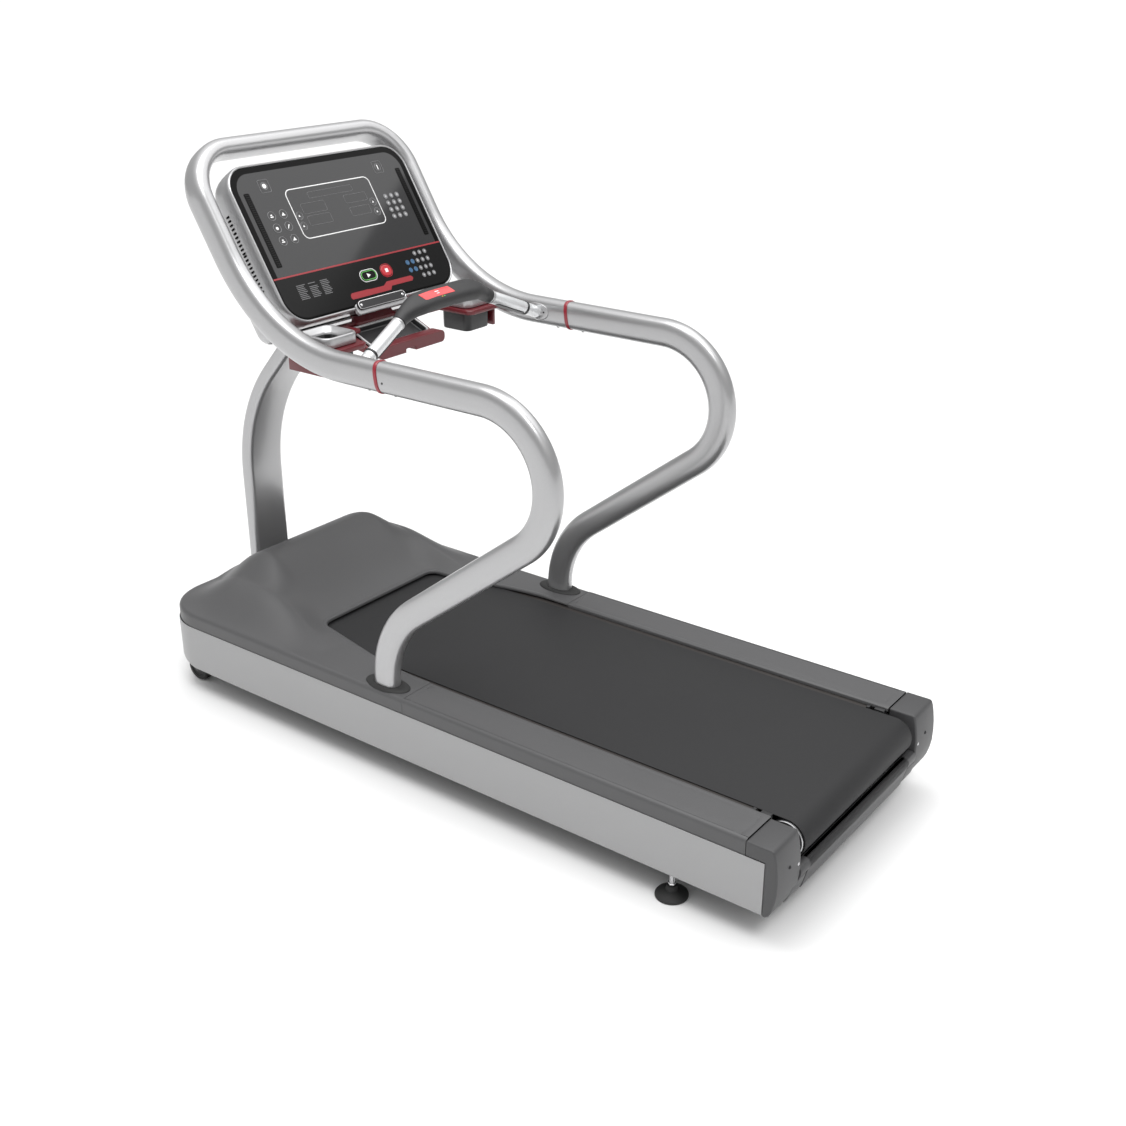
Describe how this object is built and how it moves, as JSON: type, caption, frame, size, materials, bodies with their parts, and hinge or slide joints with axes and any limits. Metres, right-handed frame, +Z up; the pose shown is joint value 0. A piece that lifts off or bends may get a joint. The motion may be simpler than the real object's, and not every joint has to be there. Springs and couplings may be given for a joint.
{
  "type": "motorised treadmill",
  "caption": "Club treadmill: belt on a powered deck, curved oval handrails, a loop round a tilted console, cup holders, grips and a single mast.",
  "frame": {"origin": "on the floor, mid-width and mid-length", "axes": "+X to the runner's right, +Y forwards to the console end, +Z up"},
  "size_m": [0.836, 2.07, 1.5729],
  "materials": {
    "silver_paint": "satin metallic silver",
    "silver_plastic": "satin silver paint on plastic",
    "panel_silver": "satin silver",
    "dark_plastic": "fine grained",
    "belt_rubber": "matt, fine grained",
    "frame_paint": "black powder coat",
    "steel": "satin",
    "rubber": "matt",
    "deck_board": "sealed board",
    "black_plastic": "semi-gloss",
    "face_overlay": "glossy dark grey",
    "red_plastic": "semi-gloss",
    "green_key": "satin",
    "circuit": "lacquered board"
  },
  "bodies": {
    "chassis": {"frame_rail_l": "frame_paint", "frame_rail_r": "frame_paint", "cross_member_front": "frame_paint", "cross_member_rear": "frame_paint", "belly_pan": "frame_paint", "drive_motor": "frame_paint", "elevation_motor": "frame_paint", "side_panel_l": "panel_silver", "side_panel_r": "panel_silver", "front_cover": "dark_plastic", "foot_rail_l": "dark_plastic", "foot_rail_r": "dark_plastic", "motor_hood": "dark_plastic", "end_cap_l": "dark_plastic", "end_cap_r": "dark_plastic", "rear_guard": "dark_plastic", "power_inlet": "black_plastic", "motor_controller": "black_plastic", "port_plate": "black_plastic", "grip_bar": "black_plastic", "accessory_tray": "black_plastic", "running_deck": "deck_board", "deck_cushion_fl": "rubber", "deck_cushion_fr": "rubber", "deck_cushion_rl": "rubber", "deck_cushion_rr": "rubber", "drive_belt": "rubber", "rail_grommet_l": "rubber", "rail_grommet_r": "rubber", "running_belt": "belt_rubber", "front_axle": "steel", "rear_axle": "steel", "grip_l": "steel", "grip_r": "steel", "mast": "silver_paint", "handrail_l": "silver_paint", "handrail_r": "silver_paint", "console_loop": "silver_paint", "console_shell": "silver_plastic", "mast_shroud": "silver_plastic", "cup_holder_l": "silver_plastic", "cup_holder_r": "silver_plastic", "collar_l": "red_plastic", "collar_r": "red_plastic", "tray_base": "red_plastic", "console_face": "face_overlay", "console_board": "circuit"},
    "front_roller": {"front_roller": "steel"},
    "rear_roller": {"rear_roller": "steel"},
    "motor_rotor": {"flywheel": "steel", "motor_pulley": "steel"},
    "lift": {"lift_frame": "frame_paint"},
    "lift_wheel_l": {"lift_wheel_l": "rubber"},
    "lift_wheel_r": {"lift_wheel_r": "rubber"},
    "elevation_screw": {"elevation_screw": "steel"},
    "foot_l": {"levelling_foot_l": "black_plastic"},
    "foot_r": {"levelling_foot_r": "black_plastic"},
    "start_button": {"start_button": "green_key"},
    "stop_button": {"stop_button": "red_plastic"},
    "power_switch": {"power_switch": "black_plastic"}
  },
  "joints": [
    {"name": "front_roller_spin", "type": "hinge", "parent": "chassis", "child": "front_roller", "pos_m": [0, 0.545, 0.2035], "axis": [1, 0, 0], "continuous": true},
    {"name": "rear_roller_spin", "type": "hinge", "parent": "chassis", "child": "rear_roller", "pos_m": [0, -0.9795, 0.2035], "axis": [1, 0, 0], "continuous": true},
    {"name": "motor_spin", "type": "hinge", "parent": "chassis", "child": "motor_rotor", "pos_m": [0, 0.79, 0.215], "axis": [1, 0, 0], "continuous": true},
    {"name": "incline", "type": "hinge", "parent": "chassis", "child": "lift", "pos_m": [0, 0.645, 0.115], "axis": [-1, 0, 0], "range_deg": [0, 48]},
    {"name": "elevation_screw_slide", "type": "slide", "parent": "chassis", "child": "elevation_screw", "axis": [0, 1, 0], "range_m": [0, 0.066]},
    {"name": "lift_wheel_l_spin", "type": "hinge", "parent": "lift", "child": "lift_wheel_l", "pos_m": [-0.34, 0.957, 0.04], "axis": [1, 0, 0], "continuous": true},
    {"name": "lift_wheel_r_spin", "type": "hinge", "parent": "lift", "child": "lift_wheel_r", "pos_m": [0.34, 0.957, 0.04], "axis": [1, 0, 0], "continuous": true},
    {"name": "foot_l_height", "type": "slide", "parent": "chassis", "child": "foot_l", "axis": [0, 0, -1], "range_m": [0, 0.02]},
    {"name": "foot_r_height", "type": "slide", "parent": "chassis", "child": "foot_r", "axis": [0, 0, -1], "range_m": [0, 0.02]},
    {"name": "start_button_press", "type": "slide", "parent": "chassis", "child": "start_button", "axis": [0, 0.8545, -0.5195], "range_m": [0, 0.001], "stiffness_N_per_m": 600, "springref_m": -0.001},
    {"name": "stop_button_press", "type": "slide", "parent": "chassis", "child": "stop_button", "axis": [0, 0.8545, -0.5195], "range_m": [0, 0.001], "stiffness_N_per_m": 600, "springref_m": -0.001},
    {"name": "power_switch_rock", "type": "hinge", "parent": "chassis", "child": "power_switch", "pos_m": [-0.15, 1.029, 0.13], "axis": [1, 0, 0], "range_deg": [-8, 8]}
  ],
  "couplings": [
    {"joint": "rear_roller_spin", "follows": "front_roller_spin", "ratio": 1},
    {"joint": "motor_spin", "follows": "front_roller_spin", "ratio": 2.1},
    {"joint": "elevation_screw_slide", "follows": "incline", "m_per_rad": 0.07748}
  ]
}
